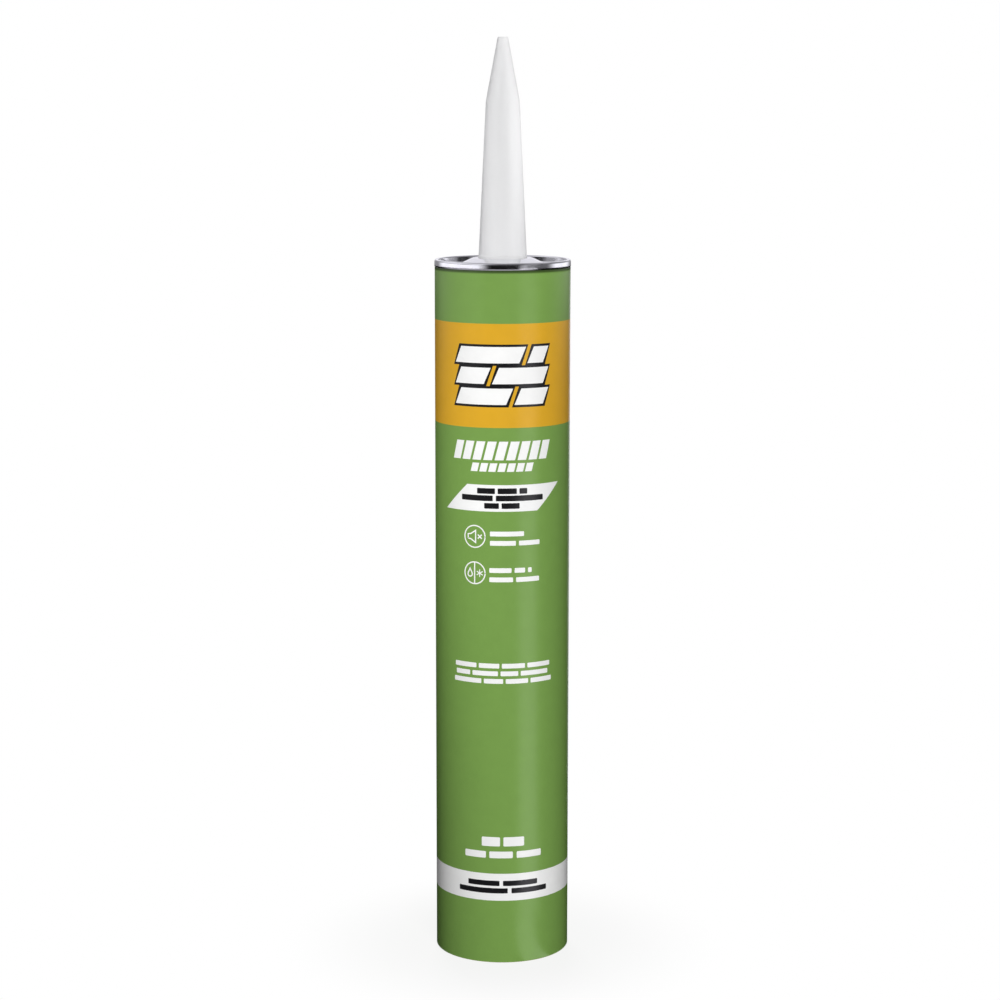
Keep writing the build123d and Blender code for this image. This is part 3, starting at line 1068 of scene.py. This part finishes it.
def make_adhesive(rules, finish):
    *_, sink, panel, foot, head, _ = shifted(TIN_LINE, HALF_GAUGE + FLANGE_GAP)
    pocket = FLANGE_RADIUS + FLANGE_GAP
    under_foil = FOIL_BOTTOM - FLANGE_GAP
    corners = [
        (0, PASTE_BOTTOM),
        (PASTE_RADIUS, PASTE_BOTTOM),
        (PASTE_RADIUS, sink[1]),
        *(sink, panel, foot),
        on_line(foot, head, pocket),
        (pocket, under_foil),
        (0, under_foil),
    ]
    paste_body = stand_in("adhesive", rules, corners, finish)
    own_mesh(paste_body)


def make_plunger(rules, plastic):
    body = PLUNGER_LIP_RADIUS - PLUNGER_BODY_STEP
    cup = body - PLUNGER_SKIRT_WALL
    recess = cup - LEDGE_WIDTH
    seat = PLUNGER_REAR + CUP_DEPTH
    underside = seat + RIB_HEIGHT
    lip_inside = PLUNGER_LIP_RADIUS - FRONT_LIP_THICKNESS
    corners = [
        (0, underside),
        (recess, underside, RECESS_ROUND),
        (recess, seat, LIP_EDGE_ROUND),
        (cup, seat, RECESS_ROUND),
        (cup, PLUNGER_REAR, CUP_EDGE_ROUND),
        (PLUNGER_LIP_RADIUS, PLUNGER_REAR),
        (PLUNGER_LIP_RADIUS, PLUNGER_REAR + REAR_LIP_HEIGHT, LIP_EDGE_ROUND),
        (body, PLUNGER_REAR + REAR_LIP_HEIGHT + REAR_LIP_TAPER, BODY_REAR_BEND),
        (body, PLUNGER_FRONT - FRONT_LIP_LAND - FRONT_LIP_FLARE, BODY_FRONT_BEND),
        (PLUNGER_LIP_RADIUS, PLUNGER_FRONT - FRONT_LIP_LAND),
        (PLUNGER_LIP_RADIUS, PLUNGER_FRONT),
        (lip_inside, PLUNGER_FRONT),
        (lip_inside - WIPER_GROOVE_WIDTH / 2, PLUNGER_FRONT - WIPER_GROOVE_DEPTH, WIPER_GROOVE_ROUND),
        (lip_inside - WIPER_GROOVE_WIDTH, PLUNGER_FRONT),
        (0, PLUNGER_FRONT),
    ]
    stand_in("plunger", rules, corners, plastic, "plunger")
    reach = recess + LEDGE_WIDTH / 2
    rib = rib_mesh(HUB_RADIUS / 2, reach, RIB_THICKNESS, seat, underside)
    ride(shaped("plunger_ribs", rules["spokes"], plastic, RIB_COUNT, outline=rib), "plunger", "plunger")
    hub = [(0, underside), (0, seat), (HUB_RADIUS, seat, RIB_EDGE_ROUND), (HUB_RADIUS, underside)]
    ride(turned("plunger_hub", rules, hub, plastic), "plunger", "plunger")


def rib_mesh(start, end, thickness, low, high):
    """One straight rib along +X with rounded lower edges."""
    half = thickness / 2
    low_corners = [(-half, low, RIB_EDGE_ROUND), (half, low, RIB_EDGE_ROUND)]
    side = rounded([(-half, high), *low_corners, (half, high)])
    count = len(side)
    points = [(x, across, height) for x in (start, end) for across, height in side]
    faces = [(n, (n + 1) % count, count + (n + 1) % count, count + n) for n in range(count)]
    faces += [tuple(range(count)), tuple(range(count, 2 * count))]
    return new_mesh("rib", points, faces)


def make_camera():
    lens = bpy.data.cameras.new("camera")
    lens.lens = LENS_MM
    lens.sensor_width = SENSOR_MM
    lens.shift_x = SHIFT_X
    lens.clip_end = CLIP_END
    camera = new_object("camera", lens)
    camera.location = (0, -CAMERA_DISTANCE, CAMERA_HEIGHT)
    camera.rotation_euler = (pi / 2 - CAMERA_PITCH, CAMERA_ROLL, 0)
    bpy.context.scene.camera = camera


def around(azimuth, distance, height):
    """A place around the object; azimuth 0 is in front of it, and positive ones are to its right."""
    return (distance * sin(radians(azimuth)), -distance * cos(radians(azimuth)), height)


def seen_directly(wire):
    """1 for rays from the camera, from a mirror-like surface or through glass."""
    path = wire.add("ShaderNodeLightPath").outputs
    either = wire.math("MAXIMUM", path["Is Camera Ray"], path["Is Glossy Ray"])
    return wire.math("MAXIMUM", either, path["Is Transmission Ray"])


def make_world():
    world = bpy.data.worlds.new("studio")
    world.use_nodes = True
    world.node_tree.nodes.clear()
    wire = Wiring(world.node_tree)
    level = wire.math("MULTIPLY_ADD", seen_directly(wire), 1.0 - AMBIENT, AMBIENT)
    backdrop = wire.add("ShaderNodeBackground", {"Color": WHITE, "Strength": level})
    output = wire.add("ShaderNodeOutputWorld")
    wire.feed(output.inputs[0], backdrop.outputs[0])
    bpy.context.scene.world = world


def stage_piece(name, points, faces):
    """A piece of the studio, and its finish, still empty."""
    piece = new_object(name, new_mesh(name, points, faces))
    finish = Finish(name)
    finish.material.cycles.emission_sampling = "NONE"
    piece.data.materials.append(finish.material)
    return piece, finish


def make_floor():
    """A pale floor. Seen directly it fades to the white of the background and keeps the object's shadow."""
    half = FLOOR_REACH
    corners = [(-half, -half, 0), (half, -half, 0), (half, half, 0), (-half, half, 0)]
    floor, wire = stage_piece("floor", corners, [(0, 1, 2, 3)])
    seen = seen_directly(wire)
    colour = wire.blend(seen, FLOOR_BOUNCE, FLOOR_PALE)
    wire.dress(Base_Color=colour, Roughness=0.9, Specular_IOR_Level=0.0)
    white = wire.add("ShaderNodeEmission", {"Color": WHITE, "Strength": 1.0})
    away = wire.smooth(polar(wire)[0], FLOOR_FADE_START, FLOOR_FADE_END, FLOOR_WHITE, 1.0)
    mixed = wire.add("ShaderNodeMixShader", {"Fac": wire.times(seen, away)})
    wire.feed(mixed.inputs[1], wire.shader.outputs[0])
    wire.feed(mixed.inputs[2], white.outputs[0])
    wire.feed(wire.output.inputs[0], mixed.outputs[0])


def make_card(name, lower, upper, brightness, softness, patches):
    """One ring of studio card, unseen by the camera, that gives no light and casts no shadow."""
    turns = [360 * step / CARD_STEPS for step in range(CARD_STEPS + 1)]
    points = [around(azimuth, *edge) for edge in (lower, upper) for azimuth in turns]
    faces = [(n, n + 1, n + CARD_STEPS + 2, n + CARD_STEPS + 1) for n in range(CARD_STEPS)]
    card, wire = stage_piece(name, points, faces)
    azimuth = polar(wire)[1]
    for start, end, level in patches:
        middle, half = radians((start + end) / 2), radians((end - start) / 2)
        away = wire.math("WRAP", wire.minus(azimuth, middle), pi, -pi)
        away = wire.math("ABSOLUTE", away)
        inside = wire.smooth(away, half - radians(softness), half + radians(softness), 1.0, 0.0)
        difference = wire.minus(level, brightness)
        brightness = wire.math("MULTIPLY_ADD", inside, difference, brightness)
    wire.dress(Base_Color=BLACK, Specular_IOR_Level=0.0, Roughness=1.0)
    wire.dress(Emission_Color=CARD_TINT, Emission_Strength=brightness)
    card.visible_camera = card.visible_diffuse = False
    card.visible_shadow = card.visible_transmission = False


def hang(name, light, power, azimuth, distance, height, aim):
    """Puts a lamp around the object, turned towards a height on its axis."""
    light.energy = power
    lit = new_object(name, light)
    lit.location = around(azimuth, distance, height)
    lit.rotation_euler = (Vector((0, 0, aim)) - lit.location).to_track_quat("-Z", "Y").to_euler()
    lit.visible_glossy = False


def make_lights():
    for name, azimuth, power in SOFT_BOXES:
        light = bpy.data.lights.new(name, "AREA")
        light.shape = "RECTANGLE"
        light.size, light.size_y = BOX_WIDTH, BOX_DEPTH
        hang(name, light, power, azimuth, BOX_DISTANCE, BOX_HEIGHT, BOX_AIM)
    for name, azimuth, height, aim, cone, softness, power in SPOTS:
        light = bpy.data.lights.new(name, "SPOT")
        light.spot_size = radians(cone)
        light.spot_blend = SPOT_BLEND
        light.shadow_soft_size = softness
        hang(name, light, power, azimuth, SPOT_DISTANCE, height, aim)


def make_object():
    rules = {
        "turned": turned_rule(),
        "sheet": sheet_rule(),
        "print": print_rule(),
        "spiral": spiral_rule(),
        "spokes": spokes_rule(),
    }
    white_plastic = polyethylene("white polyethylene", WHITE_PLASTIC, scatter=0.6, roughness=0.36)
    natural_plastic = polyethylene("natural polyethylene", NATURAL_PLASTIC, scatter=0.3, roughness=0.4)
    liner = foil("liner foil", wrinkle_scale=380, wrinkle_depth=0.02 * MM)
    seal = foil("seal foil", wrinkle_scale=500, wrinkle_depth=0.05 * MM)
    label_paper = varnished("printed label", field_colours)
    white_ink = varnished("white ink", plain_colour(PAPER_WHITE))
    black_ink = varnished("black ink", plain_colour(INK_BLACK))
    make_tube(rules, kraft_board(), liner, label_paper)
    make_label(rules, label_paper, white_ink, black_ink)
    make_metal_end(rules, tinplate())
    make_nozzle(rules, white_plastic)
    make_foil_seal(rules, seal)
    make_plunger(rules, natural_plastic)
    make_adhesive(rules, paste())


bpy.context.scene.view_settings.view_transform = "Standard"
make_camera()
make_world()
make_floor()
make_lights()
for card in CARDS:
    make_card(*card)
make_object()
